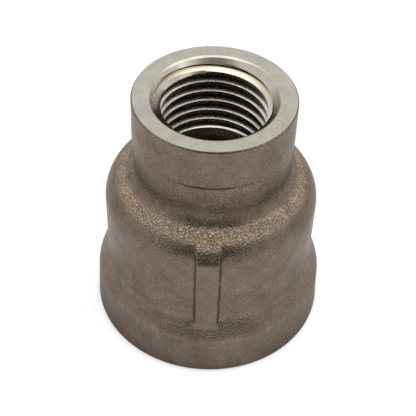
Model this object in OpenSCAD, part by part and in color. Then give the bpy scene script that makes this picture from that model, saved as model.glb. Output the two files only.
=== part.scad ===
// Concentric reducer: a threaded, cast pipe coupling that joins two pipe sizes
// on one axis. The large end rests on z = 0 and the small end faces up.
// The real fitting is one casting. Each module below is one region of it, and
// neighbouring regions meet face to face.

/* [Overall] */
// Length from the large end face to the small end face
total_len = 30; // [29:0.5:36]
// Outward rounding of the outer edge of each machined end face
edge_round = 0.2; // [0.1:0.05:0.4]

/* [Small end] */
// Outside diameter of the small end collar
collar_d = 17.8; // [17:0.1:19]
// Length of the collar, from the small end face
collar_len = 4.9; // [3:0.1:6]
// Outside diameter of the neck below the collar
neck_d = 17.4; // [16.4:0.1:17.6]
// Length of the small end, from its face to the root of the shoulder
small_end_len = 9.9; // [9:0.1:10.5]
// Radius of the hollow corner where the neck meets the shoulder
neck_fillet_r = 2; // [1:0.1:2.6]

/* [Shoulder] */
// Drop of the shoulder from the neck's root to the barrel's upper edge
shoulder_drop = 2; // [1.2:0.1:2.5]
// Radius that rounds the shoulder over into the barrel
shoulder_round_r = 3.6; // [1:0.1:4]

/* [Large end] */
// Outside diameter of the barrel
barrel_d = 24.2; // [23.8:0.1:26]
// Outside diameter of the band at its rim
band_d = 27.2; // [26.8:0.1:30]
// Outside diameter of the band at its upper edge, smaller by the mould draft
band_top_d = 26.7; // [26.2:0.1:26.8]
// Height of the band's upper edge above the large end face
band_len = 5.2; // [4:0.1:7]
// Height of the slope from the band's upper edge up to the barrel
band_slope_len = 2.6; // [1.8:0.1:3.5]
// Thickness of the barrel wall behind the band, outside the large thread
band_seat_wall = 1.1; // [0.8:0.1:1.3]
// Radius that rounds the band's upper edge
band_round_r = 2.8; // [1:0.1:3]
// Radius of the hollow corner where the barrel meets the band's slope
band_fillet_r = 0.8; // [0.4:0.1:1.5]

/* [Small end thread] */
// Major diameter of the internal thread, size 1/4
small_major_d = 13.157; // [12.9:0.001:13.3]
// Minor diameter of the internal thread
small_minor_d = 11.445; // [11.2:0.001:11.6]
// Pitch, 19 turns per inch
small_pitch = 1.337; // [1.3:0.001:1.4]
// Depth of the threaded length below the small end face
small_thread_len = 9.6; // [8.5:0.1:10]
// Mouth diameter of the lead-in, where it meets the small end face
small_mouth_d = 14.4; // [14:0.1:15]
// Depth of the steep outer bevel of the lead-in
small_bevel_len = 0.45; // [0.3:0.05:0.6]
// Width of the steep outer bevel of the lead-in
small_bevel_w = 0.45; // [0.3:0.05:0.6]
// Depth of the whole lead-in
small_lead_len = 1.2; // [1:0.1:1.6]

/* [Large end thread] */
// Major diameter of the internal thread, size 1/2
large_major_d = 20.955; // [20.7:0.001:21.1]
// Minor diameter of the internal thread
large_minor_d = 18.631; // [18.4:0.001:18.8]
// Pitch, 14 turns per inch
large_pitch = 1.814; // [1.75:0.001:1.9]
// Depth of the threaded length above the large end face
large_thread_len = 12.4; // [11:0.1:13]
// Mouth diameter of the lead-in, where it meets the large end face
large_mouth_d = 22; // [21.8:0.1:22.4]
// Depth of the lead-in
large_lead_len = 1.4; // [1.2:0.1:1.8]

/* [Passage] */
// Length of each plain bored land, where the tap runs out past the thread
runout_len = 0.8; // [0.5:0.1:1.2]
// Diameter of the cast cavity between the two threads
cavity_d = 18; // [17:0.1:18.4]
// Height of the cavity's straight wall above the large end's run-out land
cavity_wall_len = 2.2; // [1:0.1:2.6]
// Radius of the hollow corner at the top of the cavity
cavity_round_r = 1.6; // [0.8:0.1:2]

/* [Ribs] */
// Number of ribs that a wrench bears on
rib_count = 2; // [2:1:4]
// Width of each rib
rib_w = 2.6; // [1.8:0.1:3.4]
// Diameter of the circle that the ribs' faces touch
ribs_d = 25.2; // [24.8:0.1:26]
// Drop from the shoulder's edge to the top end of each rib's face
rib_drop = 0.9; // [0.6:0.1:1.6]
// Radius that rounds the top end of each rib
rib_round_r = 1; // [0.6:0.1:1.4]

/* [Hidden] */
$fn = 96;

// Steps of each rounded corner in an outline
corner_steps = 10;
// Share of the pitch that the groove is open at the bore
groove_mouth = 0.75;
// Share of the pitch that the rounded groove bottom is wide
groove_root = 0.16;
// Share of the pitch that the rounded groove bottom is deep
groove_root_depth = 0.07;
// How far a cut runs past the surface that it opens
past = 0.2;
// Depth that each rib's outline reaches into the wall before it is cut to the wall
rib_root_depth = 1;

neck_r = neck_d / 2;
barrel_r = barrel_d / 2;
neck_root_z = total_len - small_end_len;
shoulder_edge_z = neck_root_z - shoulder_drop;
collar_bottom_z = total_len - collar_len;
collar_step = (collar_d - neck_d) / 2;
band_slope_z = band_len + band_slope_len;
band_seat_r = large_major_d / 2 + band_seat_wall;

small_joint_z = total_len - small_thread_len;
large_joint_z = large_thread_len;
small_land_z = small_joint_z - runout_len;
large_land_z = large_joint_z + runout_len;
cavity_top_z = large_land_z + cavity_wall_len;

// Angle of a direction in the plane
function heading(v) = atan2(v[1], v[0]);

// Points that round the corner b, between a and c, to radius r
function corner(a, b, c, r) =
    let (
        to_a = (a - b) / norm(a - b),
        to_c = (c - b) / norm(c - b),
        half = acos(to_a * to_c) / 2,
        middle = b + (to_a + to_c) / norm(to_a + to_c) * r / sin(half),
        first = heading(b + to_a * r / tan(half) - middle),
        last = heading(b + to_c * r / tan(half) - middle),
        turn = (last - first + 540) % 360 - 180
    )
    [for (i = [0:corner_steps])
        let (angle = first + turn * i / corner_steps)
        middle + r * [cos(angle), sin(angle)]];

// Outline points with each one rounded; each entry is [point, radius]
function rounded(entries) = [
    for (i = [0:len(entries) - 1])
        let (
            n = len(entries),
            before = entries[(i + n - 1) % n][0],
            here = entries[i][0],
            after = entries[(i + 1) % n][0],
            r = entries[i][1]
        )
        each (r > 0 ? corner(before, here, after, r) : [here])
];

// Half section of the outside of the casting, filled in to the axis
module outside_section() {
    polygon(rounded([
        [[0, 0], 0],
        [[band_d / 2, 0], edge_round],
        [[band_top_d / 2, band_len], band_round_r],
        [[barrel_r, band_slope_z], band_fillet_r],
        [[barrel_r, shoulder_edge_z], shoulder_round_r],
        [[neck_r, neck_root_z], neck_fillet_r],
        [[neck_r, collar_bottom_z - collar_step], 0],
        [[collar_d / 2, collar_bottom_z], 0],
        [[collar_d / 2, total_len], edge_round],
        [[0, total_len], 0]
    ]));
}

// Half section of the bored and cast passage, from end to end
module passage_section() {
    small_r = small_minor_d / 2;
    large_r = large_minor_d / 2;
    bevel_r = small_mouth_d / 2 - small_bevel_w;
    polygon(rounded([
        [[0, -past], 0],
        [[large_mouth_d / 2, -past], 0],
        [[large_mouth_d / 2, 0], 0],
        [[large_r, large_lead_len], 0],
        [[large_r, large_land_z], 0],
        [[cavity_d / 2, large_land_z], 0],
        [[cavity_d / 2, cavity_top_z], cavity_round_r],
        [[small_r, small_land_z], 0],
        [[small_r, total_len - small_lead_len], 0],
        [[bevel_r, total_len - small_bevel_len], 0],
        [[small_mouth_d / 2, total_len], 0],
        [[small_mouth_d / 2, total_len + past], 0],
        [[0, total_len + past], 0]
    ]));
}

// Wall of the casting between two heights, from radius reach inwards
module wall(bottom, top, reach) {
    rotate_extrude()
        intersection() {
            difference() {
                outside_section();
                passage_section();
            }
            translate([0, bottom])
                square([reach, top - bottom]);
        }
}

// Half section of one thread groove, about the axial middle of the groove
module groove_section(minor_r, major_r, pitch) {
    mouth = groove_mouth * pitch / 2;
    root = groove_root * pitch / 2;
    root_r = major_r - groove_root_depth * pitch;
    polygon([
        [minor_r - past, -mouth], [minor_r, -mouth], [root_r, -root], [major_r, 0],
        [root_r, root], [minor_r, mouth], [minor_r - past, mouth]
    ]);
}

// Ring grooves, one for each turn of a thread that starts at z = 0 and runs up
module thread_grooves(minor_d, major_d, pitch, length) {
    for (i = [0:floor(length / pitch) - 1])
        translate([0, 0, pitch * (i + 0.5)])
            rotate_extrude()
                groove_section(minor_d / 2, major_d / 2, pitch);
}

// Collar and neck, with the small internal thread
module small_end_socket() {
    cut_len = small_thread_len - small_lead_len;
    color("silver")
        difference() {
            wall(small_joint_z, total_len, collar_d);
            translate([0, 0, total_len - small_lead_len])
                mirror([0, 0, 1])
                    thread_grooves(small_minor_d, small_major_d, small_pitch, cut_len);
        }
}

// Cast shoulder between the two ends, with the cavity and both run-out lands
module reducing_shoulder() {
    color("dimgray")
        wall(large_joint_z, small_joint_z, band_d);
}

// Barrel wall, with the large internal thread
module large_end_socket() {
    cut_len = large_thread_len - large_lead_len;
    color("silver")
        difference() {
            union() {
                wall(0, band_slope_z, band_seat_r);
                wall(band_slope_z, large_joint_z, band_d);
            }
            translate([0, 0, large_lead_len])
                thread_grooves(large_minor_d, large_major_d, large_pitch, cut_len);
        }
}

// Thickened rim around the large end, outside the barrel wall
module large_end_band() {
    color("gray")
        difference() {
            wall(0, band_slope_z, band_d);
            translate([0, 0, -past])
                cylinder(r = band_seat_r, h = band_slope_z + 2 * past);
        }
}

// Raised ribs on the barrel, from the shoulder's edge down to the band
module wrench_ribs() {
    rib_r = ribs_d / 2;
    root_r = barrel_r - rib_root_depth;
    face_top_z = shoulder_edge_z - rib_drop;
    color("gray")
        for (i = [0:rib_count - 1])
            rotate([0, 0, -90 + 360 * i / rib_count])
                difference() {
                    rotate([90, 0, 0])
                        linear_extrude(height = rib_w, center = true)
                            polygon(rounded([
                                [[root_r, 0], 0],
                                [[rib_r, 0], 0],
                                [[rib_r, face_top_z], rib_round_r],
                                [[root_r, face_top_z + rib_r - root_r], 0]
                            ]));
                    rotate_extrude()
                        outside_section();
                }
}

small_end_socket();
reducing_shoulder();
large_end_socket();
large_end_band();
wrench_ribs();
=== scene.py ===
import math
import bmesh
import bpy
from mathutils import Matrix, Vector, noise


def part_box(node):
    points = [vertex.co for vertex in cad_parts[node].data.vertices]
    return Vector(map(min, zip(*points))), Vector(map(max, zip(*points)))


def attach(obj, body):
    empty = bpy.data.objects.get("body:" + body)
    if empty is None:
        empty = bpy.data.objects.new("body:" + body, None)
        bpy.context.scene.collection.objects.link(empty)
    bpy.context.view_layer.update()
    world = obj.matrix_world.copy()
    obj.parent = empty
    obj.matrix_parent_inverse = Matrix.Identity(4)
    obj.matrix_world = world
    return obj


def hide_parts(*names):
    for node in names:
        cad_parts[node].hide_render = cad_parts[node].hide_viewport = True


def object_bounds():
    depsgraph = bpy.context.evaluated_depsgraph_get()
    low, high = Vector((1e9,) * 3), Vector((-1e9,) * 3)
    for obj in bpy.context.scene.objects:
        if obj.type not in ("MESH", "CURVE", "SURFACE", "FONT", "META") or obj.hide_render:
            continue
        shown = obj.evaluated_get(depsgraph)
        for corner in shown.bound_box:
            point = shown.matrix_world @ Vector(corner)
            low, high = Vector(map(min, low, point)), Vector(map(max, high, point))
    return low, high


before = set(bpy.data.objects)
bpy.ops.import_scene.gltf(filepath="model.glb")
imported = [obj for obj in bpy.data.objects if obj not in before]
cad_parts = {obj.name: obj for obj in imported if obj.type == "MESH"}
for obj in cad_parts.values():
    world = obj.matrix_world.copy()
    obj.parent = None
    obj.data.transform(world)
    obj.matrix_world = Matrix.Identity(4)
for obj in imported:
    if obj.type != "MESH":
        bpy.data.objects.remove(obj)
cad_low, cad_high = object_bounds()

# ---------------------------------------------------------------------------------------
# Casting. The whole fitting is one stainless steel investment casting: collar, neck,
# shoulder, barrel, band and two wrench ribs. It is blasted with beads after casting, which
# leaves an even, fine, sparkling grain, and every edge keeps the soft round of the wax.
# ---------------------------------------------------------------------------------------
MM = 0.001
total_len = cad_high.z / MM
band_r = cad_high.x / MM
shoulder_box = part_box("reducing_shoulder")
barrel_r = shoulder_box[1].x / MM
band_slope_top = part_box("large_end_band")[1].z / MM

collar_r = 8.9
collar_top_r = 8.86
collar_len = 4.9
neck_r = 8.7
neck_root_z = total_len - 9.9
shoulder_edge_z = neck_root_z - 2
band_top_r = 13.35
band_len = 5.2
rim_round_r = 0.2


def corner(before, here, after, radius, steps=12):
    """Points that round the corner `here` of an outline to a radius."""
    here = Vector(here)
    back = (Vector(before) - here).normalized()
    on = (Vector(after) - here).normalized()
    half = back.angle(on) / 2
    middle = here + (back + on).normalized() * radius / math.sin(half)
    first = here + back * radius / math.tan(half) - middle
    last = here + on * radius / math.tan(half) - middle
    turn = first.angle_signed(last)
    return [middle + Matrix.Rotation(-turn * i / steps, 2) @ first for i in range(steps + 1)]


def rounded(entries):
    """The points of a closed outline of ((radius, height), corner radius) entries."""
    points = []
    for i, (here, radius) in enumerate(entries):
        before = entries[i - 1][0]
        after = entries[(i + 1) % len(entries)][0]
        points += corner(before, here, after, radius) if radius else [Vector(here)]
    return points


def turned(outline, steps=240, longest=0.5):
    """A closed outline of (radius, height) points in millimetres, spun round the axis."""
    bm = bmesh.new()
    verts = [bm.verts.new((r, 0, z)) for r, z in outline]
    for i, vert in enumerate(verts):
        bm.edges.new((verts[i - 1], vert))
    for edge in list(bm.edges):
        cuts = math.ceil(edge.calc_length() / longest) - 1
        if cuts > 0:
            bmesh.ops.subdivide_edges(bm, edges=[edge], cuts=cuts)
    bmesh.ops.spin(bm, geom=bm.verts[:] + bm.edges[:], axis=(0, 0, 1), angle=math.tau,
                   steps=steps, use_merge=True)
    bmesh.ops.recalc_face_normals(bm, faces=bm.faces)
    return bm


def finished(bm, name, material, sharp_angle=35):
    """The finished object of a bmesh in millimetres: smooth, with its hard edges kept."""
    bmesh.ops.scale(bm, vec=(MM, MM, MM), verts=bm.verts)
    for face in bm.faces:
        face.smooth = True
    for edge in bm.edges:
        if len(edge.link_faces) == 2:
            edge.smooth = edge.calc_face_angle(0) < math.radians(sharp_angle)
    mesh = bpy.data.meshes.new(name)
    bm.to_mesh(mesh)
    bm.free()
    piece = bpy.data.objects.new(name, mesh)
    bpy.context.scene.collection.objects.link(piece)
    mesh.materials.append(material)
    return piece


def ease(value, start, end):
    """0 before start, 1 after end, and a smooth rise between them."""
    share = min(max((value - start) / (end - start), 0), 1)
    return share * share * (3 - 2 * share)


def node(tree, kind, **inputs):
    """A shader node with some of its inputs set, or linked to other nodes' outputs."""
    made = tree.nodes.new(kind)
    for name, value in inputs.items():
        socket = made.inputs[name.replace("_", " ")]
        if isinstance(value, bpy.types.NodeSocket):
            tree.links.new(value, socket)
        else:
            socket.default_value = value
    return made


def ramp(tree, factor, *stops):
    """A colour ramp of (position, colour or grey) stops, read at factor."""
    made = node(tree, "ShaderNodeValToRGB", Fac=factor)
    elements = made.color_ramp.elements
    while len(elements) < len(stops):
        elements.new(0.5)
    for element, (position, colour) in zip(elements, stops):
        element.position = position
        element.color = (*colour, 1) if isinstance(colour, tuple) else (colour,) * 3 + (1,)
    return made.outputs["Color"]


def tinted(tree, colour, tint, amount):
    """A colour multiplied by a tint, by the given amount."""
    made = tree.nodes.new("ShaderNodeMix")
    made.data_type = "RGBA"
    made.blend_type = "MULTIPLY"
    tree.links.new(amount, made.inputs["Factor"])
    tree.links.new(colour, made.inputs[6])
    made.inputs[7].default_value = (*tint, 1)
    return made.outputs[2]


def product(tree, first, second):
    """The product of two numbers in a shader tree."""
    made = tree.nodes.new("ShaderNodeMath")
    made.operation = "MULTIPLY"
    tree.links.new(first, made.inputs[0])
    tree.links.new(second, made.inputs[1])
    return made.outputs[0]


def new_material(name):
    """An empty node material: its tree, its metal shader and its object coordinates."""
    material = bpy.data.materials.new(name)
    material.use_nodes = True
    tree = material.node_tree
    shader = tree.nodes["Principled BSDF"]
    place = tree.nodes.new("ShaderNodeTexCoord").outputs["Object"]
    return material, tree, shader, place


def cast_steel(name, dark, light, roughness=0.26):
    """Blasted cast steel: sharp little dents and grains, soft blotches, a warm brown cast, with painted
    shade under the neck and a painted highlight with painted glints on the upward slopes.
    """
    material, tree, shader, place = new_material(name)
    grain = node(tree, "ShaderNodeTexNoise", Vector=place, Scale=6200, Detail=1, Roughness=0.5)
    dents = node(tree, "ShaderNodeTexVoronoi", Vector=place, Scale=4000, Randomness=1)
    blotch = node(tree, "ShaderNodeTexNoise", Vector=place, Scale=420, Detail=4, Roughness=0.6)
    stain = node(tree, "ShaderNodeTexNoise", Vector=place, Scale=1500, Detail=3)
    base = ramp(tree, blotch.outputs["Fac"], (0.3, dark), (0.7, light))
    stained = tinted(tree, base, (0.9, 0.85, 0.78),
                     ramp(tree, stain.outputs["Fac"], (0.45, 0.0), (0.7, 0.8)))
    cooled = tinted(tree, stained, (0.9, 0.98, 1.12),
                    ramp(tree, dents.outputs["Color"], (0.5, 0.0), (0.62, 1.0)))
    specked = tinted(tree, cooled, (0.82, 0.8, 0.78),
                     ramp(tree, grain.outputs["Fac"], (0.34, 1.0), (0.5, 0.0)))
    bright = tinted(tree, specked, (1.12, 1.1, 1.08),
                    ramp(tree, grain.outputs["Fac"], (0.52, 0.0), (0.68, 1.0)))
    # Painted shade: a band of height at the hollow under the neck is darkened, standing in for the shade
    # that falls there
    height = node(tree, "ShaderNodeSeparateXYZ", Vector=place)
    rise = node(tree, "ShaderNodeMapRange", Value=height.outputs["Z"])
    rise.inputs["From Max"].default_value = total_len * MM
    painted_neck_shade = ramp(tree, rise.outputs["Result"], (0.67, 0.0), (0.7, 1.0), (0.73, 1.0), (0.81, 0.0))
    bright = tinted(tree, bright, (0.72, 0.7, 0.67), painted_neck_shade)
    # Painted highlight: slopes that face up are painted lighter, with painted glints on the bright
    # grain, and their bump grain is deeper too
    surface = tree.nodes.new("ShaderNodeTexCoord")
    facing = node(tree, "ShaderNodeSeparateXYZ", Vector=surface.outputs["Normal"])
    up_facing_highlight_and_grain_depth = ramp(tree, facing.outputs["Z"], (0.7, 0.0), (0.85, 1.0))
    painted_glints = product(tree, up_facing_highlight_and_grain_depth, ramp(tree, grain.outputs["Fac"], (0.48, 0.0), (0.62, 1.0)))
    painted_upslope_highlight = tinted(tree, bright, (1.26, 1.24, 1.2), up_facing_highlight_and_grain_depth)
    tree.links.new(tinted(tree, painted_upslope_highlight, (1.65, 1.58, 1.42), painted_glints), shader.inputs["Base Color"])
    shader.inputs["Metallic"].default_value = 1
    shader.inputs["Specular Tint"].default_value = (0.85, 0.83, 0.8, 1)
    rough = ramp(tree, grain.outputs["Fac"], (0.3, roughness + 0.12), (0.7, roughness - 0.1))
    tree.links.new(rough, shader.inputs["Roughness"])
    swell = node(tree, "ShaderNodeBump", Height=blotch.outputs["Fac"], Distance=0.00006, Strength=0.5)
    depth = node(tree, "ShaderNodeMapRange", Value=up_facing_highlight_and_grain_depth)
    depth.inputs["To Min"].default_value = 0.35
    pits = node(tree, "ShaderNodeBump", Height=dents.outputs["Distance"], Distance=0.00004,
                Strength=depth.outputs["Result"], Normal=swell.outputs["Normal"])
    fine = node(tree, "ShaderNodeBump", Height=grain.outputs["Fac"], Distance=0.0002,
                Strength=depth.outputs["Result"], Normal=pits.outputs["Normal"])
    tree.links.new(fine.outputs["Normal"], shader.inputs["Normal"])
    return material


# Half widths of the machined faces at their outer edges, where the cast round begins
small_face_r = collar_r - rim_round_r
large_face_r = band_r - rim_round_r
socket_wall_r = 7.7
large_socket_wall_r = 11.2
face_cut = 0.3
small_thread_len = 9.6
large_thread_len = 12.4
land_len = 0.8
small_land_z = total_len - small_thread_len - land_len
large_land_z = large_thread_len + land_len
cavity_r = 9.0
cavity_top_z = large_land_z + 2.2
small_minor_r = 5.7225
large_minor_r = 9.3155

casting = turned(rounded([
    ((large_face_r, 0), 0),
    ((large_face_r + 0.05, 0), 0),
    ((band_r, 0.15), 0.12),
    ((band_top_r, band_len), 2.8),
    ((barrel_r, band_slope_top), 2.5),
    ((barrel_r, shoulder_edge_z), 3.6),
    ((neck_r, neck_root_z), 2.4),
    ((neck_r, total_len - collar_len - 0.4), 0.04),
    ((neck_r - 0.25, total_len - collar_len - 0.16), 0.04),
    ((neck_r - 0.23, total_len - collar_len - 0.04), 0.03),
    ((collar_r, total_len - collar_len + 0.03), 0.05),
    ((collar_top_r, total_len - 0.15), 0.12),
    ((small_face_r + 0.05, total_len), 0),
    ((small_face_r, total_len), 0),
    ((small_face_r, total_len - face_cut), 0),
    ((socket_wall_r, total_len - face_cut), 0),
    ((socket_wall_r, small_land_z), 0),
    ((small_minor_r, small_land_z), 0),
    ((cavity_r, cavity_top_z), 1.6),
    ((cavity_r, large_land_z), 0),
    ((large_socket_wall_r, large_land_z), 0),
    ((large_socket_wall_r, face_cut), 0),
    ((large_face_r, face_cut), 0),
]), steps=216, longest=0.36)

# Each rib carries the shoulder's slope on, turns down at a crease and ends in a flat face
rib_half = 1.2
rib_foot = 1.45
rib_r = 12.6
rib_crease = (11.4, shoulder_edge_z + 0.4)
rib_corner = (rib_r, shoulder_edge_z - 0.85)
rib_line = rounded([((neck_r, neck_root_z), 0), (rib_crease, 0.5), (rib_corner, 0.9), ((rib_r, 0), 0)])
rib_groove_x = 1.47
rib_groove_half = 0.12
rib_groove_depth = 0.055
rib_loops = (0.9, 1.08, 1.15, 1.2, 1.24, 1.28, 1.32, 1.36, 1.4, 1.44, 1.48, 1.53, 1.6, 1.7)
for side in (-1, 1):
    for reach in rib_loops:
        bmesh.ops.bisect_plane(casting, geom=casting.verts[:] + casting.edges[:] + casting.faces[:],
                               plane_co=(side * reach, 0, 0), plane_no=(1, 0, 0))


def rib_reach(z):
    """Radius of the rib's face at a height, or 0 past the ends of its line."""
    for (r_above, z_above), (r_below, z_below) in zip(rib_line, rib_line[1:]):
        if z_below <= z <= z_above:
            return r_above + (r_below - r_above) * (z_above - z) / (z_above - z_below)
    return 0


for vert in casting.verts:
    x, y, z = vert.co
    r = math.hypot(x, y)
    lift = 1 - ease(abs(x), rib_half - 0.04, rib_foot)
    if z > cavity_top_z + 1.6:
        outside = r > socket_wall_r + 0.5
    else:
        outside = r > (cavity_r if z > large_land_z else large_socket_wall_r) + 0.3
    if abs(x) < rib_loops[-1] and outside and band_len < z < neck_root_z:
        over = rib_reach(z) - r
        raised = lift * 0.5 * (over + math.hypot(over, 0.08))
        groove = max(1 - abs(abs(x) - rib_groove_x) / rib_groove_half, 0)
        sunk = rib_groove_depth * ease(over, 0.1, 0.4) * groove
        y_far = math.sqrt((r + raised - sunk) ** 2 - x * x)
        vert.co.y = math.copysign(y_far, y)
    # The wax shrinks unevenly, so no cast wall is perfectly true
    if outside and face_cut < z < total_len - face_cut:
        waver = noise.noise(vert.co * 0.35) * 0.03 + noise.noise(vert.co * 1.1) * 0.012
        vert.co -= Vector((x, y, 0)).normalized() * (0.012 + 0.6 * max(waver, -0.02))

# The faces of the inner cavity take a darker copy of the cast steel: painted shade inside the fitting
for face in casting.faces:
    middle = face.calc_center_median()
    if math.hypot(middle.x, middle.y) < cavity_r + 0.05 and large_land_z < middle.z < small_land_z:
        face.material_index = 1
cast_skin = finished(casting, "cast_body", cast_steel(
    "blasted_cast_steel", (0.2, 0.151, 0.113), (0.293, 0.229, 0.172)), 40)
cast_skin.data.materials.append(cast_steel(
    "cavity_painted_shade_steel", (0.09, 0.065, 0.05), (0.14, 0.105, 0.08), 0.45))
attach(cast_skin, "root")
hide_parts("reducing_shoulder", "large_end_band", "wrench_ribs")

# ---------------------------------------------------------------------------------------
# Small end socket. The collar's face is turned flat, its mouth is opened by a 45 degree cone,
# and a 1/4 pipe thread is tapped into the bore: a right-hand helix of 55 degree grooves, whose
# crests are the bored wall. Turning leaves bright rings. The thread's crests are painted lighter
# than the face as a painted highlight, and its grooves darker as painted shade.
# ---------------------------------------------------------------------------------------


def turned_steel(name, dark, light, roughness=0.2, minor_r=None):
    """Turned steel: bright, with fine rings round the axis and a faint warm film.

    Where a minor radius is given, the metal is painted browner and darker towards the roots of the
    thread's grooves, as painted shade in them."""
    material, tree, shader, place = new_material(name)
    parts = node(tree, "ShaderNodeSeparateXYZ", Vector=place)
    flat = node(tree, "ShaderNodeCombineXYZ", X=parts.outputs["X"], Y=parts.outputs["Y"])
    radius = tree.nodes.new("ShaderNodeVectorMath")
    radius.operation = "LENGTH"
    tree.links.new(flat.outputs["Vector"], radius.inputs[0])
    ring_place = node(tree, "ShaderNodeCombineXYZ", X=radius.outputs["Value"], Z=parts.outputs["Z"])
    rings = node(tree, "ShaderNodeTexNoise", Vector=ring_place.outputs["Vector"], Scale=9000, Detail=2)
    film = node(tree, "ShaderNodeTexNoise", Vector=place, Scale=500, Detail=4, Roughness=0.65)
    specks = node(tree, "ShaderNodeTexNoise", Vector=place, Scale=5000, Detail=2)
    base = ramp(tree, film.outputs["Fac"], (0.3, dark), (0.65, light))
    if minor_r:
        # Painted shade: the colour browns and then darkens with radius into the thread's grooves
        depth = node(tree, "ShaderNodeMapRange", Value=radius.outputs["Value"])
        depth.inputs["From Min"].default_value = minor_r * MM
        depth.inputs["From Max"].default_value = (minor_r + 0.8) * MM
        base = tinted(tree, base, (0.8, 0.62, 0.45),
                      ramp(tree, depth.outputs["Result"], (0.35, 0.0), (0.7, 1.0)))
        base = tinted(tree, base, (0.5, 0.55, 0.62),
                      ramp(tree, depth.outputs["Result"], (0.6, 0.0), (0.9, 1.0)))
    tree.links.new(base, shader.inputs["Base Color"])
    shader.inputs["Metallic"].default_value = 1
    rough = ramp(tree, specks.outputs["Fac"], (0.3, roughness - 0.03), (0.7, roughness + 0.04))
    tree.links.new(rough, shader.inputs["Roughness"])
    relief = 0.1 if minor_r else 0.5
    ring_bump = node(tree, "ShaderNodeBump", Height=rings.outputs["Fac"], Distance=0.00002 * relief,
                     Strength=0.4)
    speck_bump = node(tree, "ShaderNodeBump", Height=specks.outputs["Fac"], Distance=0.00002 * relief,
                      Strength=0.3, Normal=ring_bump.outputs["Normal"])
    tree.links.new(speck_bump.outputs["Normal"], shader.inputs["Normal"])
    return material


def tapped(bottom, top, minor_r, major_r, pitch, phase, flare, fade, steps):
    """A tapped bore as a helical sheet: its outline climbs one pitch in each full turn.

    flare(z) is the least radius that the lead-in leaves, and fade(z) is 0 where the tap
    has run out and 1 where the groove is cut in full."""
    half_land = 0.175 * pitch
    half_root = 0.03 * pitch
    flank_r = major_r - 0.05 * pitch
    bm = bmesh.new()
    chain = []
    turns = math.ceil((top - bottom) / pitch) + 2
    for turn in range(-1, turns):
        middle = bottom + phase + turn * pitch
        chain += [(minor_r, middle - half_land), (minor_r, middle), (minor_r, middle + half_land)]
        start, end = middle + half_land, middle + pitch / 2 - half_root
        for i in range(1, 5):
            share = i / 4
            chain.append((minor_r + (flank_r - minor_r) * share, start + (end - start) * share))
        chain.append((major_r, middle + pitch / 2))
        start, end = middle + pitch / 2 + half_root, middle + pitch - half_land
        for i in range(4):
            share = 1 - i / 4
            chain.append((minor_r + (flank_r - minor_r) * share, start + (end - start) * i / 4))
    verts = [bm.verts.new((r, 0, z)) for r, z in chain]
    for a, b in zip(verts, verts[1:]):
        bm.edges.new((a, b))
    bmesh.ops.spin(bm, geom=bm.verts[:] + bm.edges[:], axis=(0, 0, 1), dvec=(0, 0, pitch / steps),
                   angle=math.tau, steps=steps)
    bmesh.ops.remove_doubles(bm, verts=bm.verts, dist=pitch * 0.01)
    for level in (bottom, top):
        bmesh.ops.bisect_plane(bm, geom=bm.verts[:] + bm.edges[:] + bm.faces[:], plane_co=(0, 0, level),
                               plane_no=(0, 0, 1), clear_inner=level == bottom, clear_outer=level == top)
    for vert in bm.verts:
        x, y, z = vert.co
        r = math.hypot(x, y)
        cut = minor_r + (r - minor_r) * fade(z)
        cut = max(cut, flare(z))
        vert.co = (x * cut / r, y * cut / r, z)
    return bm


small_major_r = 6.5785
small_pitch = 1.337
small_mouth_r = 7.0
small_mouth_depth = 1.28
small_bottom_z = total_len - small_thread_len


def small_mouth(z):
    """Radius of the small end's lead-in at a height, or 0 below it."""
    depth = total_len - z
    return small_mouth_r - depth if depth < small_mouth_depth else 0


small_thread = tapped(small_bottom_z, total_len - 0.17, small_minor_r, small_major_r, small_pitch, 1.107,
                      small_mouth, lambda z: ease(z, small_bottom_z, total_len - 8.9), 180)
small_top = [edge for edge in small_thread.edges if edge.is_boundary]
top_ring = [e for e in small_top if e.verts[0].co.z > total_len - 1]
foot_ring = [e for e in small_top if e.verts[0].co.z < total_len - 8]


def drawn(bm, ring, *targets):
    """The open ring is extruded to each (radius, height) target in turn."""
    for r, z in targets:
        made = bmesh.ops.extrude_edge_only(bm, edges=ring)["geom"]
        for vert in (item for item in made if isinstance(item, bmesh.types.BMVert)):
            length = math.hypot(vert.co.x, vert.co.y)
            vert.co = (vert.co.x * r / length, vert.co.y * r / length, z)
        ring = [item for item in made if isinstance(item, bmesh.types.BMEdge)]
    return ring


# The thread's faces below the lead-in take a lighter copy of the turned steel: a painted highlight on
# the crests, darkening into the grooves as painted shade
for face in small_thread.faces:
    middle = face.calc_center_median()
    if math.hypot(middle.x, middle.y) > small_mouth(middle.z) + 0.02:
        face.material_index = 1
top_ring = drawn(small_thread, top_ring, (6.935, total_len - 0.065), (7.176, total_len),
                 (7.5, total_len), (8.0, total_len), (8.4, total_len),
                 (small_face_r, total_len), (small_face_r, total_len - face_cut),
                 (socket_wall_r, total_len - face_cut))
foot_ring = drawn(small_thread, foot_ring, (small_minor_r, small_land_z), (socket_wall_r, small_land_z))
bmesh.ops.bridge_loops(small_thread, edges=top_ring + foot_ring)
bmesh.ops.recalc_face_normals(small_thread, faces=small_thread.faces)
small_socket = finished(small_thread, "small_end_socket_metal", turned_steel(
    "turned_steel", (0.43, 0.4, 0.34), (0.54, 0.51, 0.44)), 30)
small_socket.data.materials.append(turned_steel(
    "small_thread_painted_light_steel", (0.55, 0.515, 0.445), (0.68, 0.635, 0.555), 0.25, small_minor_r))
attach(small_socket, "root")
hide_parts("small_end_socket")

# ---------------------------------------------------------------------------------------
# Large end socket. It is machined as the small end is, with a 1/2 pipe thread. The fitting
# stands on its turned face, so this thread is only seen from below.
# ---------------------------------------------------------------------------------------
large_mouth_depth = 1.5


def large_mouth(z):
    """Radius of the large end's lead-in at a height, or 0 above it."""
    return 0 if z > large_mouth_depth else large_minor_r + (large_mouth_depth - z) * 1.1


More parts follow.
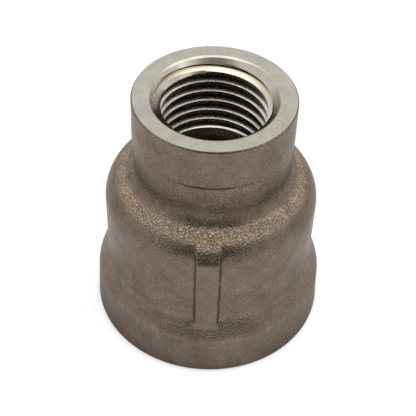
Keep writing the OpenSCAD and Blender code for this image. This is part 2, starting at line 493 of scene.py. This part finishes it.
large_major_r = 10.4775
large_pitch = 1.814
large_thread = tapped(0.2, large_thread_len, large_minor_r, large_major_r, large_pitch, 0.3,
                      large_mouth, lambda z: 1 - ease(z, 11.5, large_thread_len), 200)
open_edges = [edge for edge in large_thread.edges if edge.is_boundary]
mouth_ring = drawn(large_thread, [e for e in open_edges if e.verts[0].co.z < 1], (11.0, 0), (11.4, 0),
                   (12.0, 0), (12.7, 0), (large_face_r, 0), (large_face_r, face_cut),
                   (large_socket_wall_r, face_cut))
inner_ring = drawn(large_thread, [e for e in open_edges if e.verts[0].co.z > 11],
                   (large_minor_r, large_land_z), (large_socket_wall_r, large_land_z))
bmesh.ops.bridge_loops(large_thread, edges=mouth_ring + inner_ring)
bmesh.ops.recalc_face_normals(large_thread, faces=large_thread.faces)
large_socket = finished(large_thread, "large_end_socket_metal", bpy.data.materials["turned_steel"], 30)
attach(large_socket, "root")
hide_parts("large_end_socket")

# ---------------------------------------------------------------------------------------
# Studio. A plain white floor, a white surround, and one broad soft lamp overhead, as for a
# catalogue plate. The camera looks down at the front of the fitting.
# ---------------------------------------------------------------------------------------


def larger(tree, first, second):
    """The larger of two numbers in a shader tree."""
    made = tree.nodes.new("ShaderNodeMath")
    made.operation = "MAXIMUM"
    tree.links.new(first, made.inputs[0])
    tree.links.new(second, made.inputs[1])
    return made.outputs[0]


floor_mesh = bmesh.new()
floor_reach = 600
bmesh.ops.create_grid(floor_mesh, x_segments=1, y_segments=1, size=floor_reach)
floor_material, floor_tree, floor_shader, floor_place = new_material("white_floor")
floor_shader.inputs["Base Color"].default_value = (0.9, 0.9, 0.9, 1)
floor_shader.inputs["Roughness"].default_value = 0.9
floor_shader.inputs["Emission Color"].default_value = (1, 1, 1, 1)
floor_away = floor_tree.nodes.new("ShaderNodeVectorMath")
floor_away.operation = "LENGTH"
floor_tree.links.new(floor_place, floor_away.inputs[0])
floor_path = floor_tree.nodes.new("ShaderNodeLightPath").outputs
floor_share = node(floor_tree, "ShaderNodeMapRange", Value=floor_away.outputs["Value"])
floor_share.inputs["From Max"].default_value = floor_reach * MM
# Under the fitting the floor is in full shade; further out it stays white past the lamp's light
seen_glow = ramp(floor_tree, floor_share.outputs["Result"],
                 (0.021, 0.0), (0.0231, 0.67), (0.15, 0.69), (0.5, 0.77), (1.0, 0.82))
mirrored_glow = ramp(floor_tree, floor_share.outputs["Result"],
                     (0.021, 0.0), (0.029, 0.41), (0.045, 0.41), (0.075, 0.35), (0.5, 0.55))
mirrored = larger(floor_tree, floor_path["Is Glossy Ray"], floor_path["Is Transmission Ray"])
glow = larger(floor_tree, product(floor_tree, seen_glow, floor_path["Is Camera Ray"]),
              product(floor_tree, mirrored_glow, mirrored))
floor_tree.links.new(glow, floor_shader.inputs["Emission Strength"])
floor = finished(floor_mesh, "floor", floor_material)

world = bpy.data.worlds.new("studio")
bpy.context.scene.world = world
world.use_nodes = True
sky = world.node_tree
light_path = sky.nodes.new("ShaderNodeLightPath").outputs
seen = larger(sky, larger(sky, light_path["Is Camera Ray"], light_path["Is Glossy Ray"]),
              light_path["Is Transmission Ray"])
strength = node(sky, "ShaderNodeMapRange", Value=seen)
strength.inputs["To Min"].default_value = 0.3
strength.inputs["To Max"].default_value = 1.0
# The camera sees the surround white; the metal mirrors it dim about 20 degrees up in front
front_rise = math.radians(20)
toward_front = sky.nodes.new("ShaderNodeVectorMath")
toward_front.operation = "DOT_PRODUCT"
sky_direction = sky.nodes.new("ShaderNodeTexCoord").outputs["Generated"]
sky.links.new(sky_direction, toward_front.inputs[0])
toward_front.inputs[1].default_value = (0, -math.cos(front_rise), math.sin(front_rise))
dimming = node(sky, "ShaderNodeMapRange", Value=toward_front.outputs["Value"])
dimming.interpolation_type = "SMOOTHSTEP"
dimming.inputs["From Min"].default_value = 0.62
dimming.inputs["From Max"].default_value = 0.88
dimming.inputs["To Min"].default_value = 1.0
dimming.inputs["To Max"].default_value = 0.18
# What the metal mirrors near the horizon is dimmer too, as the far walls of a room are
skyline = node(sky, "ShaderNodeSeparateXYZ", Vector=sky_direction)
rising = node(sky, "ShaderNodeMapRange", Value=skyline.outputs["Z"])
rising.interpolation_type = "SMOOTHSTEP"
rising.inputs["From Min"].default_value = 0.05
rising.inputs["From Max"].default_value = 0.35
rising.inputs["To Min"].default_value = 0.4
mirrored_sky = product(sky, dimming.outputs["Result"], rising.outputs["Result"])
open_sky = larger(sky, mirrored_sky, light_path["Is Camera Ray"])
sky.nodes["Background"].inputs["Color"].default_value = (1, 1, 1, 1)
sky.links.new(product(sky, strength.outputs["Result"], open_sky),
              sky.nodes["Background"].inputs["Strength"])

lamp_data = bpy.data.lights.new("overhead_softbox", "AREA")
lamp_data.shape = "RECTANGLE"
lamp_data.size = 0.5
lamp_data.size_y = 0.29
lamp_data.energy = 0.46
lamp = bpy.data.objects.new("overhead_softbox", lamp_data)
lamp.location = (0.08, 0.005, 0.34)
bpy.context.scene.collection.objects.link(lamp)

camera_data = bpy.data.cameras.new("camera")
camera_data.lens = 83.47
camera_data.sensor_width = 36
camera_data.clip_start = 0.005
camera_data.clip_end = 5
camera = bpy.data.objects.new("camera", camera_data)
camera.location = (0.00005, -0.07906, cad_high.z + 0.06387)
camera.rotation_euler = (math.radians(44.413), math.radians(-1.521), math.radians(1.797))
bpy.context.scene.collection.objects.link(camera)
bpy.context.scene.camera = camera

bpy.context.scene.view_settings.view_transform = "Standard"
